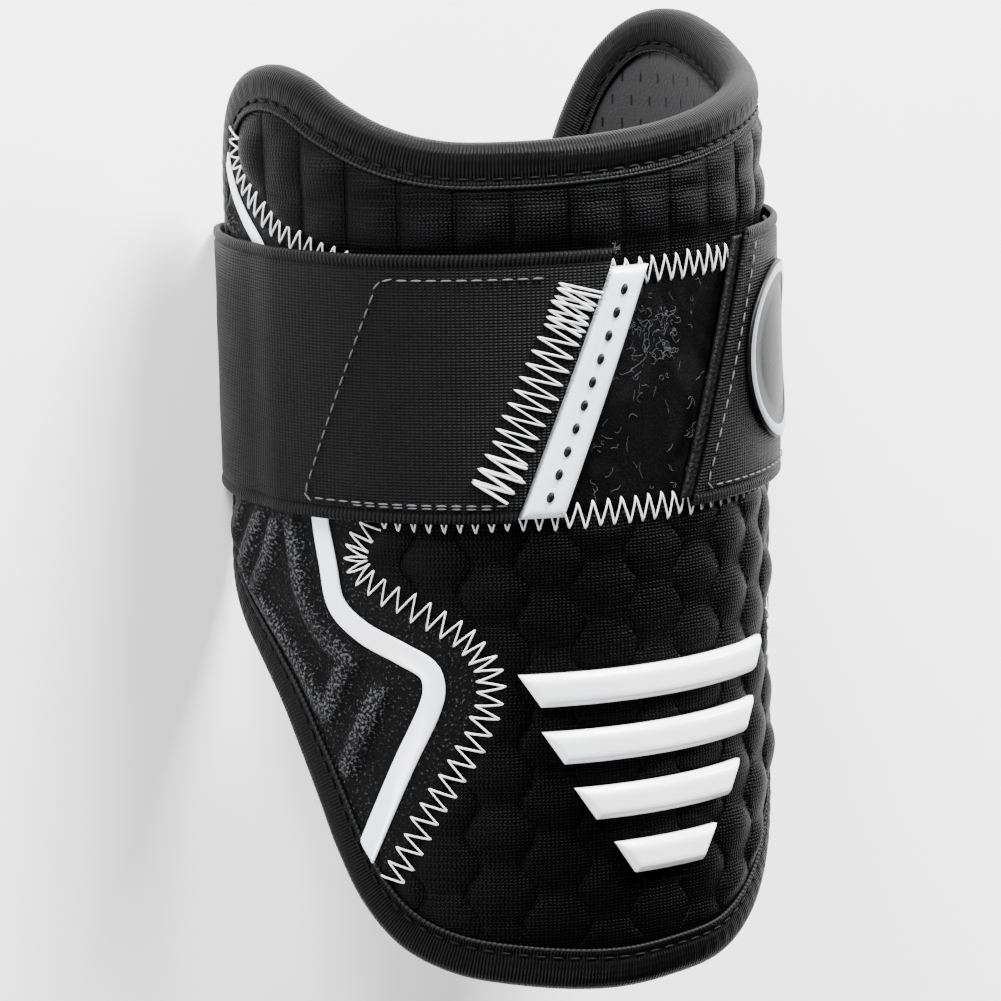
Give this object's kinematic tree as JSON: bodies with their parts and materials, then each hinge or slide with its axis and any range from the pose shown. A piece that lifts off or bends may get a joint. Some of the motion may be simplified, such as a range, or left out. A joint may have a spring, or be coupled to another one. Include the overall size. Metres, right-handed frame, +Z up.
{
  "type": "batter's elbow guard",
  "caption": "Padded C-shaped elbow guard with a knit cover, bound edge, lined inside, moulded front bars and a wide elastic strap round its open back",
  "frame": {"origin": "middle of the bounding box, at the height of the surface the guard lies on", "axes": "+Z up from the strap's flat run behind the open back to the guard's front; +Y along the arm towards the taller upper rim; +X to the side whose cloth label is farther away"},
  "size_m": [0.107, 0.1766, 0.0906],
  "materials": {
    "foam": "matt closed-cell foam with a stiff insert, hidden by the covers",
    "lining_cloth": "matt slitted stretch lining",
    "binding_tape": "matt knitted tape",
    "knit_cloth": "matt warp-knit mesh, quilted",
    "loop_cloth": "brushed loop pile",
    "embossed_cloth": "sueded cloth with embossed ribs",
    "silver_film": "pearly printed film",
    "elastic_webbing": "woven elastic with rolled selvages",
    "hook_tape": "black hook tape",
    "silver_rubber": "pearly moulded rubber",
    "white_rubber": "satin moulded rubber",
    "grey_rubber": "satin moulded rubber with a paler rim"
  },
  "bodies": {
    "root": {"padded_shell": "foam", "inner_lining": "lining_cloth", "edge_binding": "binding_tape", "upper_knit_cover": "knit_cloth", "lower_knit_cover": "knit_cloth", "loop_panel": "loop_cloth", "side_panel_near": "embossed_cloth", "side_panel_far": "embossed_cloth", "side_stripe_near": "silver_film", "side_stripe_far": "silver_film", "elastic_strap": "elastic_webbing", "hook_patch_near": "hook_tape", "hook_patch_far": "hook_tape", "pull_label": "silver_rubber", "front_bar_1": "white_rubber", "front_bar_2": "white_rubber", "front_bar_3": "white_rubber", "front_bar_4": "white_rubber", "strap_badge": "grey_rubber"}
  },
  "joints": []
}
